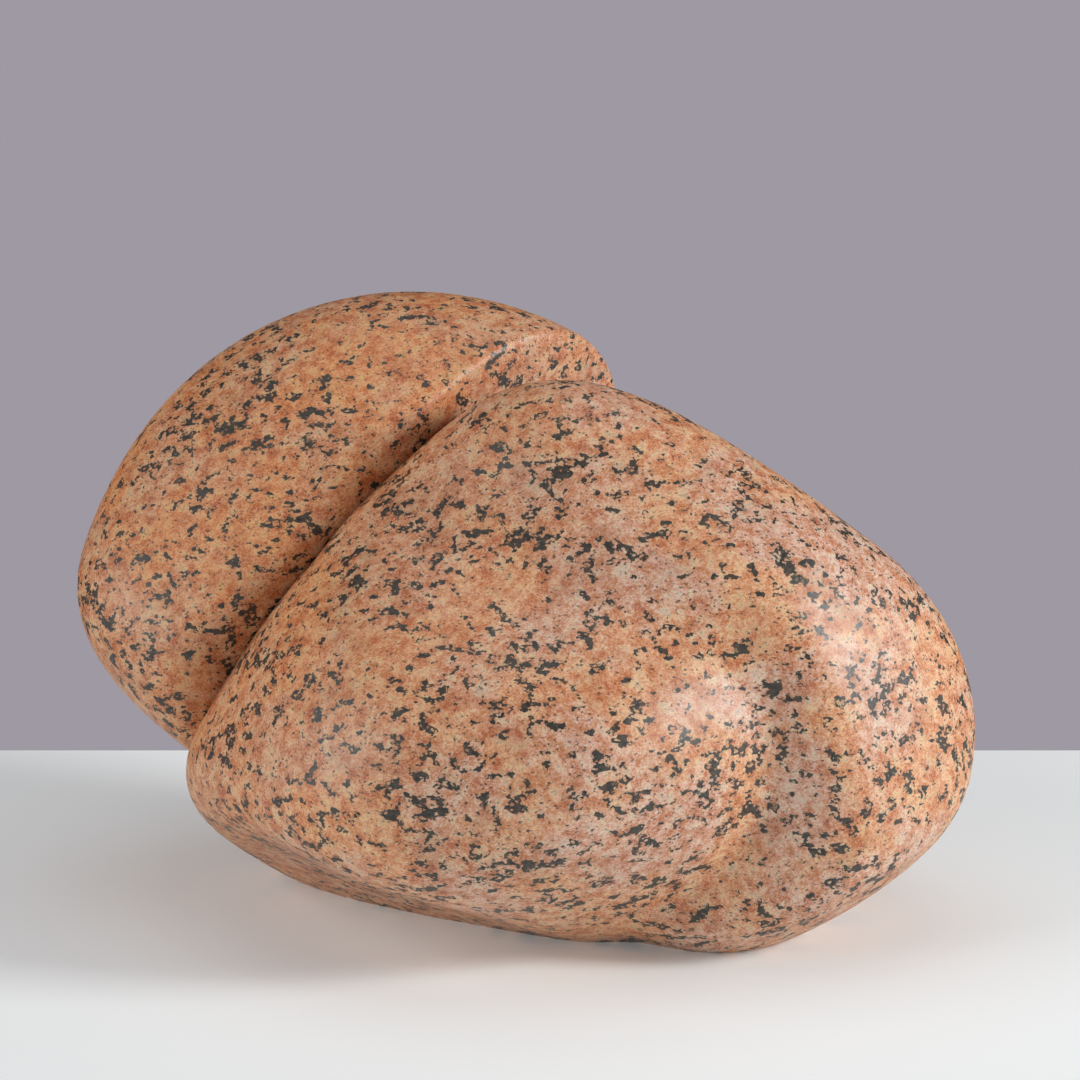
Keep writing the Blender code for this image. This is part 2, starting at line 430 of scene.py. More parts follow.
@dataclass(frozen=True)
class Haunch:
    """The mass at the right, planed at its side, at its front and in a bevel below."""

    lobe: Lobe = Lobe(centre=(0.275, -0.04, 0.20), half=(0.215, 0.23, 0.205), turn=(72, 40, -10))
    bevel: Facet = Facet(point=(0.41, -0.065, 0.04), heading=-35, rise=-55, soft=0.065)
    side: Facet = Facet(point=(0.31, -0.225, 0.24), heading=-57, rise=20, soft=0.05)
    front: Facet = Facet(point=(0.32, -0.23, 0.20), heading=-97, rise=2, soft=0.02)
    to_shoulder: float = 0.22

    def depth(self, points: np.ndarray, shoulder: np.ndarray) -> np.ndarray:
        """Depth of the haunch as it grows out of the shoulder.

        Args:
            points: places in metres.
            shoulder: depth of the shoulder there.

        Returns:
            Metres outside, negative inside.
        """
        depth = self.bevel.planed(points, self.lobe.depth(points))
        depth = self.side.planed(points, depth)
        depth = joined(depth, shoulder, self.to_shoulder * STONE_LENGTH)
        return self.front.planed(points, depth)


@dataclass(frozen=True)
class Knee:
    """The crowned mass in front, with a planed tip, underside, bevel and side."""

    lobe: Lobe = Lobe(centre=(-0.07, -0.055, 0.125), half=(0.34, 0.295, 0.235), turn=(75, -30, -10))
    crown: Swell = Swell(centre=(0.06, -0.31, 0.265), spread=0.125, height=0.045)
    cheek: Swell = Swell(centre=(-0.16, -0.275, 0.215), spread=0.145, height=0.035)
    tip: Facet = Facet(point=(-0.34, -0.165, 0.155), heading=-130, rise=-25, soft=0.015)
    underside: Facet = Facet(point=(-0.13, -0.14, 0.08), heading=-125, rise=-65, soft=0.095)
    bevel: Facet = Facet(point=(0.155, -0.21, 0.135), heading=-55, rise=-38, soft=0.06)
    side: Facet = Facet(point=(0.20, -0.26, 0.24), heading=-30, rise=-5, soft=0.04)
    to_shoulder: float = 0.19

    def depth(self, points: np.ndarray, shoulder: np.ndarray) -> np.ndarray:
        """Depth of the knee as it grows out of the shoulder.

        Args:
            points: places in metres.
            shoulder: depth of the shoulder there.

        Returns:
            Metres outside, negative inside.
        """
        depth = self.crown.raised(points, self.lobe.depth(points))
        for facet in (self.tip, self.underside, self.bevel, self.side):
            depth = facet.planed(points, depth)
        return joined(depth, shoulder, self.to_shoulder * STONE_LENGTH)


@dataclass(frozen=True)
class Body:
    """Shoulder, haunch, knee and heel, with the valley between haunch and knee."""

    shoulder: Shoulder = Shoulder()
    haunch: Haunch = Haunch()
    knee: Knee = Knee()
    heel: Lobe = Lobe(centre=(0.0, 0.125, 0.125), half=(0.28, 0.15, 0.165), turn=(0, 0, 0))
    heel_to_shoulder: float = 0.165
    valley_soft_low: float = 0.012
    valley_soft_high: float = 0.10
    valley_low: float = 0.28
    valley_high: float = 0.47
    middle: Triple = (0.06, -0.01, 0.25)
    spread: Triple = (0.45, 0.30, 0.28)
    subdivisions: int = 7

    def depth(self, points: np.ndarray) -> np.ndarray:
        """Depth of the body.

        Args:
            points: places in metres.

        Returns:
            Metres outside, negative inside.
        """
        shoulder = self.shoulder.lobe.depth(points)
        haunch = self.haunch.depth(points, shoulder)
        knee = self.knee.depth(points, shoulder)
        high = eased(points[..., 2], self.valley_low * STONE_LENGTH, self.valley_high * STONE_LENGTH)
        valley = self.valley_soft_low + (self.valley_soft_high - self.valley_soft_low) * high
        depth = joined(haunch, knee, valley * STONE_LENGTH)
        depth = joined(depth, self.heel.depth(points), self.heel_to_shoulder * STONE_LENGTH)
        for swell in (*self.shoulder.hollows, self.knee.cheek):
            depth = swell.raised(points, depth)
        return depth

    def build(self) -> bpy.types.Object:
        """Builds the body, seen outwards from its middle.

        Returns:
            A closed shell.
        """
        ball = bmesh.new()
        bmesh.ops.create_icosphere(ball, subdivisions=self.subdivisions, radius=1.0)
        directions = np.array([vertex.co for vertex in ball.verts]) * np.array(self.spread)
        directions /= np.linalg.norm(directions, axis=-1, keepdims=True)
        points = outermost(directions, in_metres(self.middle), self.depth)
        for vertex, point in zip(ball.verts, points):
            vertex.co = point
        log.info("body shell: %d faces", len(ball.faces))
        return linked("body_mass", ball)


@dataclass(frozen=True)
class HonedRelief:
    """The slight unevenness that hand honing leaves: broad waves and a finer dimpling, in metres."""

    wave_size: float = 0.022
    wave_height: float = 0.00035
    dimple_size: float = 0.0055
    dimple_height: float = 0.00009
    wave_detail: float = 1.0
    dimple_detail: float = 2.0
    roughness: float = 0.45
    seed: float = 7.0

    def group(self) -> bpy.types.NodeTree:
        """Builds the Geometry Nodes group.

        Returns:
            A group that moves every vertex along its normal by two layers of noise.
        """
        tree = bpy.data.node_groups.new("HonedRelief", "GeometryNodeTree")
        tree.interface.new_socket("Geometry", in_out="INPUT", socket_type="NodeSocketGeometry")
        for name in ("Wave Size", "Wave Height", "Dimple Size", "Dimple Height", "Seed"):
            tree.interface.new_socket(name, in_out="INPUT", socket_type="NodeSocketFloat")
        tree.interface.new_socket("Material", in_out="INPUT", socket_type="NodeSocketMaterial")
        tree.interface.new_socket("Geometry", in_out="OUTPUT", socket_type="NodeSocketGeometry")
        nodes, links = tree.nodes, tree.links
        given = nodes.new("NodeGroupInput")
        put_out = nodes.new("NodeGroupOutput")
        place = nodes.new("GeometryNodeInputPosition")
        normal = nodes.new("GeometryNodeInputNormal")

        def layer(size: str, height: str, detail: float) -> bpy.types.NodeSocket:
            """Adds one layer of noise.

            Args:
                size: name of the input with the size of its features.
                height: name of the input with its height.
                detail: how many finer layers it has.

            Returns:
                How far to move along the normal, in metres.
            """
            density = nodes.new("ShaderNodeMath")
            density.operation = "DIVIDE"
            density.inputs[0].default_value = 1.0
            links.new(given.outputs[size], density.inputs[1])
            noise = nodes.new("ShaderNodeTexNoise")
            noise.noise_dimensions = "4D"
            noise.inputs["Detail"].default_value = detail
            noise.inputs["Roughness"].default_value = self.roughness
            links.new(place.outputs["Position"], noise.inputs["Vector"])
            links.new(given.outputs["Seed"], noise.inputs["W"])
            links.new(density.outputs[0], noise.inputs["Scale"])
            level = nodes.new("ShaderNodeMath")
            level.operation = "SUBTRACT"
            level.inputs[1].default_value = HALFWAY
            links.new(noise.outputs[0], level.inputs[0])
            lift = nodes.new("ShaderNodeMath")
            lift.operation = "MULTIPLY"
            links.new(level.outputs[0], lift.inputs[0])
            links.new(given.outputs[height], lift.inputs[1])
            return lift.outputs[0]

        total = nodes.new("ShaderNodeMath")
        total.operation = "ADD"
        links.new(layer("Wave Size", "Wave Height", self.wave_detail), total.inputs[0])
        links.new(layer("Dimple Size", "Dimple Height", self.dimple_detail), total.inputs[1])
        offset = nodes.new("ShaderNodeVectorMath")
        offset.operation = "SCALE"
        links.new(normal.outputs["Normal"], offset.inputs[0])
        links.new(total.outputs[0], offset.inputs["Scale"])
        moved = nodes.new("GeometryNodeSetPosition")
        links.new(given.outputs["Geometry"], moved.inputs["Geometry"])
        links.new(offset.outputs["Vector"], moved.inputs["Offset"])
        real = nodes.new("GeometryNodeRealizeInstances")
        painted = nodes.new("GeometryNodeSetMaterial")
        links.new(moved.outputs["Geometry"], real.inputs["Geometry"])
        links.new(real.outputs["Geometry"], painted.inputs["Geometry"])
        links.new(given.outputs["Material"], painted.inputs["Material"])
        links.new(painted.outputs["Geometry"], put_out.inputs["Geometry"])
        return tree

    def hone(self, shape: bpy.types.Object, material: bpy.types.Material) -> bpy.types.Mesh:
        """Hones a shape and bakes the result to a mesh.

        Args:
            shape: the carved shape.
            material: the finish to set.

        Returns:
            The honed mesh.
        """
        tree = self.group()
        modifier = shape.modifiers.new("honed_relief", "NODES")
        modifier.node_group = tree
        given = {
            "Wave Size": self.wave_size,
            "Wave Height": self.wave_height,
            "Dimple Size": self.dimple_size,
            "Dimple Height": self.dimple_height,
            "Seed": self.seed,
            "Material": material,
        }
        for item in tree.interface.items_tree:
            if item.in_out == "INPUT" and item.name in given:
                modifier[item.identifier] = given[item.name]
        mesh = evaluated_mesh(shape)
        shape.modifiers.remove(modifier)
        return mesh


def evaluated_mesh(shape: bpy.types.Object) -> bpy.types.Mesh:
    """Bakes a shape's modifiers.

    Args:
        shape: any mesh object.

    Returns:
        A new mesh with the modifiers applied.
    """
    graph = bpy.context.evaluated_depsgraph_get()
    return bpy.data.meshes.new_from_object(shape.evaluated_get(graph), depsgraph=graph)


def combine(shape: bpy.types.Object, operation: Operation, other: bpy.types.Object) -> None:
    """Applies an exact Boolean and uses up the second shape.

    Args:
        shape: the shape to change.
        operation: what to do with the second shape.
        other: the second shape, removed here.
    """
    modifier = shape.modifiers.new("boolean", "BOOLEAN")
    modifier.operation = operation.value
    modifier.solver = "EXACT"
    modifier.object = other
    mesh = evaluated_mesh(shape)
    shape.modifiers.remove(modifier)
    shape.data = mesh
    bpy.data.objects.remove(other, do_unlink=True)


@dataclass(frozen=True)
class Stone:
    """The whole carved block, from its masses to its honed surface."""

    hood: Hood = Hood()
    body: Body = Body()
    relief: HonedRelief = HonedRelief()
    underside_level: float = 0.0
    crisp_degrees: float = 32.0

    def bed(self) -> bpy.types.Object:
        """Builds the block that planes the underside.

        Returns:
            A block whose top is at the underside's level.
        """
        side = 2.0 * STONE_LENGTH
        block = bmesh.new()
        bmesh.ops.create_cube(block, size=side)
        drop = self.underside_level * STONE_LENGTH - side / 2.0
        bmesh.ops.translate(block, verts=block.verts, vec=(0.0, 0.0, drop))
        return linked("bed_block", block)

    def shade(self, mesh: bpy.types.Mesh) -> None:
        """Shades the mesh smooth, but for its crisp edges and the underside's whole edge.

        Args:
            mesh: the mesh to shade.
        """
        mesh.shade_smooth()
        mesh.set_sharp_from_angle(angle=radians(self.crisp_degrees))
        edge_of = {tuple(sorted(edge.vertices)): edge for edge in mesh.edges}
        for face in mesh.polygons:
            if max(mesh.vertices[corner].co.z for corner in face.vertices) < FLAT_WITHIN:
                for pair in face.edge_keys:
                    edge_of[pair].use_edge_sharp = True

    def build(self, material: bpy.types.Material) -> bpy.types.Object:
        """Builds the piece and places it over the CAD stone.

        Args:
            material: the granite.

        Returns:
            The finished piece.
        """
        shape = self.body.build()
        combine(shape, Operation.JOIN, self.hood.build())
        log.info("joined: %d faces", len(shape.data.polygons))
        honed = self.relief.hone(shape, material)
        shape.data = honed
        combine(shape, Operation.CUT, self.bed())
        mesh = shape.data
        points = np.empty(3 * len(mesh.vertices), dtype=np.float32)
        mesh.vertices.foreach_get("co", points)
        points = points.reshape(-1, 3)
        low, high = points.min(axis=0), points.max(axis=0)
        shift = np.array(((low[0] + high[0]) / 2.0, (low[1] + high[1]) / 2.0, low[2]))
        log.info("moved by %s", shift.round(5).tolist())
        mesh.vertices.foreach_set("co", (points - shift).astype(np.float32).ravel())
        mesh.update()
        self.shade(mesh)
        shape.name = "honed_stone"
        mesh.name = "honed_stone"
        mesh.materials.clear()
        mesh.materials.append(material)
        mesh.calc_loop_triangles()
        box = (high - low).round(4).tolist()
        log.info("honed_stone: %d triangles, box %s", len(mesh.loop_triangles), box)
        return shape


class Wiring:
    """Short cuts for wiring the nodes of one tree."""

    def __init__(self, tree: bpy.types.NodeTree) -> None:
        """Wraps a tree.

        Args:
            tree: the node tree to build in.
        """
        self.tree = tree

    def node(self, kind: str, **settings: object) -> bpy.types.Node:
        """Adds a node.

        Args:
            kind: its type name.
            **settings: attributes to set on it.

        Returns:
            The new node.
        """
        made = self.tree.nodes.new(kind)
        for name, value in settings.items():
            setattr(made, name, value)
        return made

    def feed(self, source: object, socket: bpy.types.NodeSocket) -> None:
        """Links a socket, or sets a plain value.

        Args:
            source: an output socket or a value.
            socket: the input socket to feed.
        """
        if isinstance(source, bpy.types.NodeSocket):
            self.tree.links.new(source, socket)
        else:
            socket.default_value = source

    def math(self, operation: str, *values: object) -> bpy.types.NodeSocket:
        """Adds a sum.

        Args:
            operation: its name.
            *values: sockets or numbers.

        Returns:
            The result.
        """
        made = self.node("ShaderNodeMath", operation=operation)
        for value, socket in zip(values, made.inputs):
            self.feed(value, socket)
        return made.outputs[0]

    def rise(self, value: object, low: float, high: float) -> bpy.types.NodeSocket:
        """Adds a smooth step.

        Args:
            value: socket to read.
            low: value that gives 0.
            high: value that gives 1.

        Returns:
            The step.
        """
        made = self.node("ShaderNodeMapRange", interpolation_type="SMOOTHSTEP")
        self.feed(value, made.inputs["Value"])
        self.feed(low, made.inputs["From Min"])
        self.feed(high, made.inputs["From Max"])
        return made.outputs["Result"]

    def mix(
        self, share: object, first: object, second: object, blend: str = "MIX"
    ) -> bpy.types.NodeSocket:
        """Mixes two colours.

        Args:
            share: how much of the second.
            first: the first colour.
            second: the second colour.
            blend: how they mix.

        Returns:
            The mixed colour.
        """
        made = self.node("ShaderNodeMix", data_type="RGBA", blend_type=blend)
        self.feed(share, made.inputs["Factor"])
        self.feed(first, made.inputs["A"])
        self.feed(second, made.inputs["B"])
        return made.outputs["Result"]

    def noise(
        self, vector: object, size: float, detail: float, roughness: float = 0.5
    ) -> bpy.types.Node:
        """Adds noise.

        Args:
            vector: where to read it.
            size: size in metres of its largest features.
            detail: how many finer layers it has.
            roughness: how strong they are.

        Returns:
            The noise node.
        """
        made = self.node("ShaderNodeTexNoise", noise_dimensions="3D")
        self.feed(vector, made.inputs["Vector"])
        self.feed(1.0 / size, made.inputs["Scale"])
        self.feed(detail, made.inputs["Detail"])
        self.feed(roughness, made.inputs["Roughness"])
        return made

    def moved(self, vector: object, step: Triple) -> bpy.types.NodeSocket:
        """Moves a place, so that two patterns read from it don't match.

        Args:
            vector: the place.
            step: how far in metres.

        Returns:
            The moved place.
        """
        made = self.node("ShaderNodeVectorMath", operation="ADD")
        self.feed(vector, made.inputs[0])
        self.feed(step, made.inputs[1])
        return made.outputs["Vector"]

    def ragged(self, vector: object, size: float, amount: float) -> bpy.types.NodeSocket:
        """Frays a place, so that cells read from it get ragged edges.

        Args:
            vector: the place.
            size: size in metres of the fraying.
            amount: how far it moves, in metres.

        Returns:
            The frayed place.
        """
        frayed = self.noise(vector, size, FRAY_DETAIL)
        centred = self.node("ShaderNodeVectorMath", operation="SUBTRACT")
        self.feed(frayed.outputs["Color"], centred.inputs[0])
        self.feed((HALFWAY, HALFWAY, HALFWAY), centred.inputs[1])
        scaled = self.node("ShaderNodeVectorMath", operation="SCALE")
        self.feed(centred.outputs["Vector"], scaled.inputs[0])
        self.feed(amount, scaled.inputs["Scale"])
        made = self.node("ShaderNodeVectorMath", operation="ADD")
        self.feed(vector, made.inputs[0])
        self.feed(scaled.outputs["Vector"], made.inputs[1])
        return made.outputs["Vector"]

    def cells(self, vector: object, size: float) -> bpy.types.Node:
        """Adds Voronoi cells.

        Args:
            vector: where to read them.
            size: their size in metres.

        Returns:
            The Voronoi node.
        """
        made = self.node("ShaderNodeTexVoronoi", voronoi_dimensions="3D", feature="F1")
        self.feed(vector, made.inputs["Vector"])
        self.feed(1.0 / size, made.inputs["Scale"])
        return made

    def channel(self, colour: bpy.types.NodeSocket, name: str) -> bpy.types.NodeSocket:
        """Reads one channel of a random colour.

        Args:
            colour: the colour.
            name: Red, Green or Blue.

        Returns:
            That channel.
        """
        made = self.node("ShaderNodeSeparateColor")
        self.feed(colour, made.inputs["Color"])
        return made.outputs[name]


def linear(red: float, green: float, blue: float) -> tuple[float, float, float, float]:
    """Scene colour from a colour as seen on a screen.

    Args:
        red: 0 to 255.
        green: 0 to 255.
        blue: 0 to 255.

    Returns:
        Linear colour with full alpha.
    """
    seen = np.array((red, green, blue)) / 255.0
    steep = ((seen + 0.055) / 1.055) ** 2.4
    return (*np.where(seen <= 0.04045, seen / 12.92, steep).tolist(), 1.0)


def new_group(name: str, given: dict[str, str], put_out: dict[str, str]) -> bpy.types.NodeTree:
    """Makes a shader node group with named sockets.

    Args:
        name: name of the group.
        given: input names and socket types.
        put_out: output names and socket types.

    Returns:
        The group, with its input and output nodes.
    """
    tree = bpy.data.node_groups.new(name, "ShaderNodeTree")
    for label, kind in given.items():
        tree.interface.new_socket(label, in_out="INPUT", socket_type=kind)
    for label, kind in put_out.items():
        tree.interface.new_socket(label, in_out="OUTPUT", socket_type=kind)
    tree.nodes.new("NodeGroupInput")
    tree.nodes.new("NodeGroupOutput")
    return tree


def ends(tree: bpy.types.NodeTree) -> tuple[bpy.types.Node, bpy.types.Node]:
    """Finds a group's input and output nodes.

    Args:
        tree: the group.

    Returns:
        Its input node and its output node.
    """
    kinds = {node.bl_idname: node for node in tree.nodes}
    return kinds["NodeGroupInput"], kinds["NodeGroupOutput"]


@dataclass(frozen=True)
class Feldspar:
    """Millimetre grains of feldspar and quartz in the shades of one rock."""

    grain: float = 0.0006
    fray: float = 0.0004
    crystal: float = 0.0055
    crystal_shift: Triple = (0.31, 0.12, 0.07)
    crystal_detail: float = 3.0
    crystal_roughness: float = 0.62
    crystal_spread: float = 1.6
    grain_spread: float = 0.44
    levels: tuple[float, ...] = (0.14, 0.30, 0.44, 0.58, 0.82, 0.94)
    brick: tuple = linear(176, 98, 70)
    orange: tuple = linear(192, 130, 84)
    salmon: tuple = linear(200, 148, 112)
    pink: tuple = linear(212, 162, 140)
    cream: tuple = linear(218, 196, 156)
    quartz: tuple = linear(172, 158, 140)

    def group(self) -> bpy.types.NodeTree:
        """Builds the group.

        Returns:
            A group from a place to a grain colour and a random value of each grain.
        """
        tree = new_group(
            "FeldsparGrains",
            {"Vector": "NodeSocketVector"},
            {"Color": "NodeSocketColor", "Grain": "NodeSocketFloat"},
        )
        given, put_out = ends(tree)
        wire = Wiring(tree)
        place = given.outputs["Vector"]
        frayed = wire.ragged(place, self.grain, self.fray)
        fine = wire.cells(frayed, self.grain)
        pick = wire.channel(fine.outputs["Color"], "Red")
        apart = wire.moved(place, self.crystal_shift)
        soft = wire.noise(apart, self.crystal, self.crystal_detail, self.crystal_roughness).outputs[0]
        drop = HALFWAY - HALFWAY * self.crystal_spread
        drawn = wire.math("MULTIPLY_ADD", soft, self.crystal_spread, drop)
        centred = wire.math("SUBTRACT", pick, HALFWAY)
        chosen = wire.math("MULTIPLY_ADD", centred, self.grain_spread, drawn)
        ramp = wire.node("ShaderNodeValToRGB")
        wire.feed(chosen, ramp.inputs["Fac"])
        shades = ramp.color_ramp
        colours = (self.brick, self.orange, self.salmon, self.pink, self.cream, self.quartz)
        while len(shades.elements) < len(colours):
            shades.elements.new(HALFWAY)
        for element, level, colour in zip(shades.elements, self.levels, colours):
            element.position = level
            element.color = colour
        wire.feed(ramp.outputs["Color"], put_out.inputs["Color"])
        wire.feed(pick, put_out.inputs["Grain"])
        return tree


@dataclass(frozen=True)
class Mica:
    """Dark flecks of mica, single and in ragged clusters with a grey-green edge."""

    fleck: float = 0.0013
    fray: float = 0.0014
    fray_size: float = 0.0007
    cluster: float = 0.0056
    cluster_shift: Triple = (0.21, 0.63, 0.42)
    cluster_detail: float = 2.0
    cluster_roughness: float = 0.6
    swarm: float = 0.026
    swarm_shift: Triple = (0.77, 0.35, 0.18)
    swarm_detail: float = 1.0
    swarm_pull: float = 0.36
    crowd_low: float = 0.545
    crowd_high: float = 0.625
    edge_low: float = -0.01
    edge_high: float = 0.06
    speck: float = 0.0009
    speck_shift: Triple = (0.14, 0.52, 0.66)
    speck_low: float = 0.955
    speck_high: float = 0.965
    speck_strength: float = 0.8
    least_strength: float = 0.88
    halo_low: float = 0.50
    halo_high: float = 0.64
    lone_share: float = 0.022
    crowded_share: float = 0.83
    flatness: float = 1.35
    shade: tuple = linear(20, 25, 24)
    grey_shade: tuple = linear(40, 48, 45)
    halo: tuple = linear(140, 124, 92)

    def group(self) -> bpy.types.NodeTree:
        """Builds the group.

        Returns:
            A group from a place to a fleck mask, a halo mask and a fleck colour.
        """
        tree = new_group(
            "MicaClusters",
            {"Vector": "NodeSocketVector"},
            {"Flecks": "NodeSocketFloat", "Halo": "NodeSocketFloat", "Color": "NodeSocketColor"},
        )
        given, put_out = ends(tree)
        wire = Wiring(tree)
        flattened = wire.node("ShaderNodeVectorMath", operation="MULTIPLY")
        wire.feed(given.outputs["Vector"], flattened.inputs[0])
        wire.feed((1.0, 1.0, self.flatness), flattened.inputs[1])
        place = flattened.outputs["Vector"]
        frayed = wire.ragged(place, self.fray_size, self.fray)
        apart = wire.moved(place, self.cluster_shift)
        near = wire.noise(apart, self.cluster, self.cluster_detail, self.cluster_roughness).outputs[0]
        further = wire.moved(place, self.swarm_shift)
        far = wire.noise(further, self.swarm, self.swarm_detail).outputs[0]
        pull = wire.math("MULTIPLY_ADD", far, self.swarm_pull, -HALFWAY * self.swarm_pull)
        gathered = wire.math("ADD", near, pull)
        crowd = wire.rise(gathered, self.crowd_low, self.crowd_high)
        share = wire.math("MULTIPLY_ADD", crowd, self.crowded_share, self.lone_share)
        cells = wire.cells(frayed, self.fleck)
        draw = wire.channel(cells.outputs["Color"], "Blue")
        flecks = wire.rise(wire.math("SUBTRACT", share, draw), self.edge_low, self.edge_high)
        specks = wire.cells(wire.moved(frayed, self.speck_shift), self.speck)
        chance = wire.channel(specks.outputs["Color"], "Red")
        lone = wire.rise(chance, self.speck_low, self.speck_high)
        dark = wire.math("MAXIMUM", flecks, wire.math("MULTIPLY", lone, self.speck_strength))
        tint = wire.channel(cells.outputs["Color"], "Green")
        body = wire.channel(cells.outputs["Color"], "Red")
        thin = wire.math("MULTIPLY_ADD", body, 1.0 - self.least_strength, self.least_strength)
        wire.feed(wire.math("MULTIPLY", dark, thin), put_out.inputs["Flecks"])
        wire.feed(wire.rise(gathered, self.halo_low, self.halo_high), put_out.inputs["Halo"])
        wire.feed(wire.mix(tint, self.shade, self.grey_shade), put_out.inputs["Color"])
        return tree


@dataclass(frozen=True)
class Granite:
    """Honed granite: the grains, the mica, a slow drift of hue, a tint across the stone that is partly
    painted sheen, and a satin surface.
    """

    feldspar: Feldspar = Feldspar()
    mica: Mica = Mica()
    drift_size: float = 0.034
    drift_shift: Triple = (0.09, 0.41, 0.27)
    drift_detail: float = 3.0
    drift_roughness: float = 0.55
    rosy_low: float = 0.38
    rosy_high: float = 0.62
    stain_size: float = 0.016
    stain_shift: Triple = (0.68, 0.05, 0.33)
    stain_detail: float = 2.0
    stain_roughness: float = 0.6
    stain_low: float = 0.48
    stain_high: float = 0.70
    rusty: tuple = (1.05, 0.92, 0.72, 1.0)
    rosy: tuple = (1.00, 1.02, 1.08, 1.0)
    stain: tuple = (0.74, 0.60, 0.50, 1.0)
    # A tint across the stone: more orange towards the left, back and top, paler and bluer towards the
    # right, front and bottom. The pale side is partly the stone's own hue and partly painted sheen of
    # the right-hand light.
    tint_axis: Triple = (-0.9, 0.2, 0.4)
    tint_axis_low: float = -0.02
    tint_axis_high: float = 0.16
    tint_axis_waver: float = 0.12
    pale_tint_and_sheen: tuple = (1.02, 1.06, 1.14, 1.0)
    orange_tint: tuple = (0.96, 0.82, 0.64, 1.0)
    stain_strength: float = 0.55
    halo_strength: float = 0.30
    roughness: float = 0.50
    roughness_spread: float = 0.12
    mica_roughness: float = 0.44
    grain_height: float = 0.00004
    grain_strength: float = 0.35
    refraction: float = 1.54

    def group_node(self, wire: Wiring, tree: bpy.types.NodeTree, vector: object) -> bpy.types.Node:
        """Adds a group to the material.

        Args:
            wire: the material's wiring.
            tree: the group.
            vector: what feeds its Vector input.

        Returns:
            The group node.
        """
        made = wire.node("ShaderNodeGroup")
        made.node_tree = tree
        wire.feed(vector, made.inputs["Vector"])
        return made

    def material(self) -> bpy.types.Material:
        """Builds the material.

        Returns:
            The granite.
        """
        made = bpy.data.materials.new("red_granite")
        made.use_nodes = True
        shader = made.node_tree.nodes["Principled BSDF"]
        wire = Wiring(made.node_tree)
        place = wire.node("ShaderNodeTexCoord").outputs["Object"]
        grains = self.group_node(wire, self.feldspar.group(), place)
        mica = self.group_node(wire, self.mica.group(), place)
        drifted = wire.moved(place, self.drift_shift)
        hue = wire.noise(drifted, self.drift_size, self.drift_detail, self.drift_roughness).outputs[0]
        tone = wire.mix(wire.rise(hue, self.rosy_low, self.rosy_high), self.rusty, self.rosy)
        stone = wire.mix(1.0, grains.outputs["Color"], tone, "MULTIPLY")
        # Tint across the stone: orange towards the left, back and top, paler and bluer towards the
        # right, front and bottom, where it is partly the stone's own hue and partly painted sheen of
        # the right-hand light.
        across = wire.node("ShaderNodeVectorMath", operation="DOT_PRODUCT")
        wire.feed(place, across.inputs[0])
        wire.feed(self.tint_axis, across.inputs[1])
        lowered = wire.math("SUBTRACT", across.outputs["Value"], HALFWAY * self.tint_axis_waver)
        wavy = wire.math("MULTIPLY_ADD", hue, self.tint_axis_waver, lowered)
        bed = wire.rise(wavy, self.tint_axis_low, self.tint_axis_high)
        stone = wire.mix(1.0, stone, wire.mix(bed, self.pale_tint_and_sheen, self.orange_tint), "MULTIPLY")
        patch = wire.moved(place, self.stain_shift)
        stained = wire.noise(patch, self.stain_size, self.stain_detail, self.stain_roughness).outputs[0]
        rising = wire.rise(stained, self.stain_low, self.stain_high)
        stain_mask = wire.math("MULTIPLY", rising, self.stain_strength)
        stone = wire.mix(stain_mask, stone, wire.mix(1.0, stone, self.stain, "MULTIPLY"))
        halo = wire.math("MULTIPLY", mica.outputs["Halo"], self.halo_strength)
        stone = wire.mix(halo, stone, self.mica.halo)
        colour = wire.mix(mica.outputs["Flecks"], stone, mica.outputs["Color"])
        wire.feed(colour, shader.inputs["Base Color"])
        grain = wire.math("SUBTRACT", grains.outputs["Grain"], HALFWAY)
        satin = wire.math("MULTIPLY_ADD", grain, self.roughness_spread, self.roughness)
        darker = wire.math("MULTIPLY", mica.outputs["Flecks"], self.mica_roughness - self.roughness)
        wire.feed(wire.math("ADD", satin, darker), shader.inputs["Roughness"])
        bump = wire.node("ShaderNodeBump")
        wire.feed(self.grain_strength, bump.inputs["Strength"])
        wire.feed(self.grain_height, bump.inputs["Distance"])
        wire.feed(grains.outputs["Grain"], bump.inputs["Height"])
        wire.feed(bump.outputs["Normal"], shader.inputs["Normal"])
        shader.inputs["Metallic"].default_value = 0.0
        shader.inputs["IOR"].default_value = self.refraction
        made.diffuse_color = self.feldspar.salmon
        return made


@dataclass(frozen=True)
class SoftLight:
    """A square soft light: its place, its side in metres, its power and what it faces."""

    name: str
    place: Triple
    side: float
    power: float
    aim: Triple = (0.0, 0.0, 0.1)

    def build(self) -> bpy.types.Object:
        """Builds the light.

        Returns:
            The light object.
        """
        lamp = bpy.data.lights.new(self.name, "AREA")
        lamp.shape = "SQUARE"
        lamp.size = self.side
        lamp.energy = self.power
        light = bpy.data.objects.new(self.name, lamp)
        light.location = self.place
        facing = Vector(self.aim) - Vector(self.place)
        light.rotation_euler = facing.to_track_quat("-Z", "Y").to_euler()
        bpy.context.scene.collection.objects.link(light)
        return light


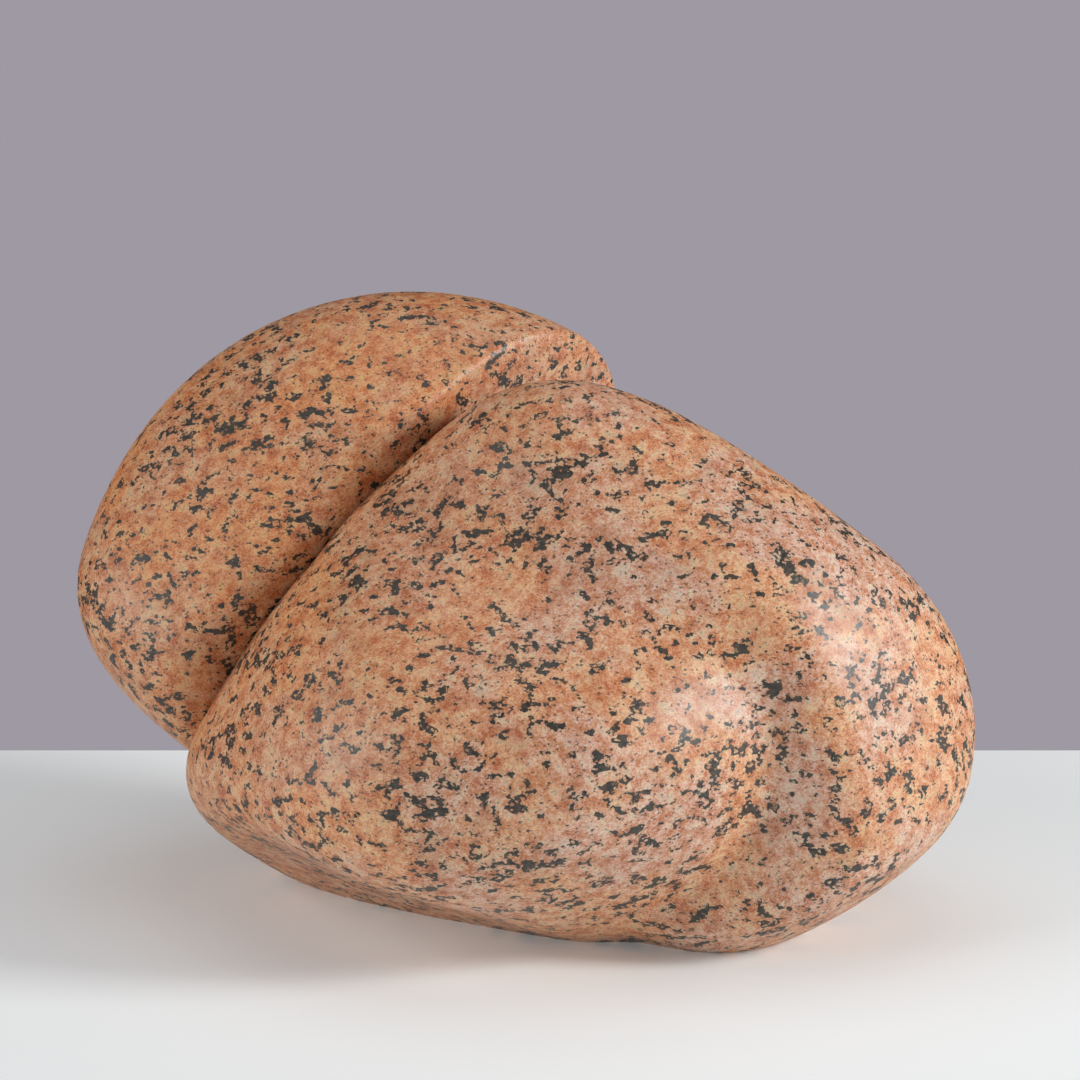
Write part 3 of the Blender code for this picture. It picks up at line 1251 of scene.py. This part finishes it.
@dataclass(frozen=True)
class Studio:
    """The pale floor, the grey backdrop and the soft lights."""

    floor_back: float = 0.20
    floor_front: float = -4.0
    floor_half_width: float = 4.0
    floor_colour: tuple = linear(238, 242, 242)
    floor_glow: float = 0.09
    floor_roughness: float = 0.75
    backdrop_colour: tuple = linear(158, 153, 162)
    backdrop_strength: float = 1.0
    ambient_strength: float = 0.32
    lights: tuple[SoftLight, ...] = (
        SoftLight("right", place=(1.70, -0.45, 0.85), side=0.5, power=29.0),
        SoftLight("left", place=(-1.70, -0.60, 0.85), side=1.4, power=20.0),
        SoftLight("front", place=(0.10, -1.90, 0.45), side=1.2, power=3.0),
        SoftLight("overhead", place=(0.0, 0.2, 1.7), side=1.4, power=6.0),
    )

    def floor(self) -> bpy.types.Object:
        """Builds the floor.

        Returns:
            A flat sheet that ends a little way behind the stone.
        """
        half, front, back = self.floor_half_width, self.floor_front, self.floor_back
        corners = [(-half, front, 0.0), (half, front, 0.0), (half, back, 0.0), (-half, back, 0.0)]
        mesh = bpy.data.meshes.new("floor")
        mesh.from_pydata(corners, [], [(0, 1, 2, 3)])
        paint = bpy.data.materials.new("pale_floor")
        paint.use_nodes = True
        shader = paint.node_tree.nodes["Principled BSDF"]
        shader.inputs["Base Color"].default_value = self.floor_colour
        shader.inputs["Roughness"].default_value = self.floor_roughness
        shader.inputs["Emission Color"].default_value = self.floor_colour
        shader.inputs["Emission Strength"].default_value = self.floor_glow
        mesh.materials.append(paint)
        sheet = bpy.data.objects.new("floor", mesh)
        bpy.context.scene.collection.objects.link(sheet)
        return sheet

    def world(self) -> None:
        """Sets the backdrop."""
        world = bpy.data.worlds.new("backdrop")
        world.use_nodes = True
        wire = Wiring(world.node_tree)
        shade = world.node_tree.nodes["Background"]
        wire.feed(self.backdrop_colour, shade.inputs["Color"])
        seen = wire.node("ShaderNodeLightPath").outputs["Is Camera Ray"]
        extra = self.backdrop_strength - self.ambient_strength
        strength = wire.math("MULTIPLY_ADD", seen, extra, self.ambient_strength)
        wire.feed(strength, shade.inputs["Strength"])
        bpy.context.scene.world = world

    def build(self) -> None:
        """Builds the whole set and leaves it out of the object."""
        self.world()
        self.floor()
        for light in self.lights:
            light.build()
            log.info("light %s: %.1f W", light.name, light.power)


@dataclass(frozen=True)
class Viewpoint:
    """The camera, in the stone's frame."""

    place: Triple = (0.0093, -1.1779, 0.4242)
    pitch: float = 76.9
    lens: float = 100.0
    film: float = 36.0

    def build(self) -> bpy.types.Object:
        """Builds the camera and looks through it.

        Returns:
            The camera object.
        """
        bpy.context.scene.view_settings.view_transform = "Standard"
        data = bpy.data.cameras.new("camera")
        data.lens = self.lens
        data.sensor_width = self.film
        camera = bpy.data.objects.new("camera", data)
        camera.location = self.place
        camera.rotation_euler = (radians(self.pitch), 0.0, 0.0)
        bpy.context.scene.collection.objects.link(camera)
        bpy.context.scene.camera = camera
        return camera


def main() -> None:
    """Builds the stone, its finish, the set and the camera, in that order."""
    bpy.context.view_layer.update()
    granite = Granite().material()
    stone = Stone().build(granite)
    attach(stone, "root")
    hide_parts("granite_form")
    Studio().build()
    Viewpoint().build()


if __name__ == "__main__":
    main()
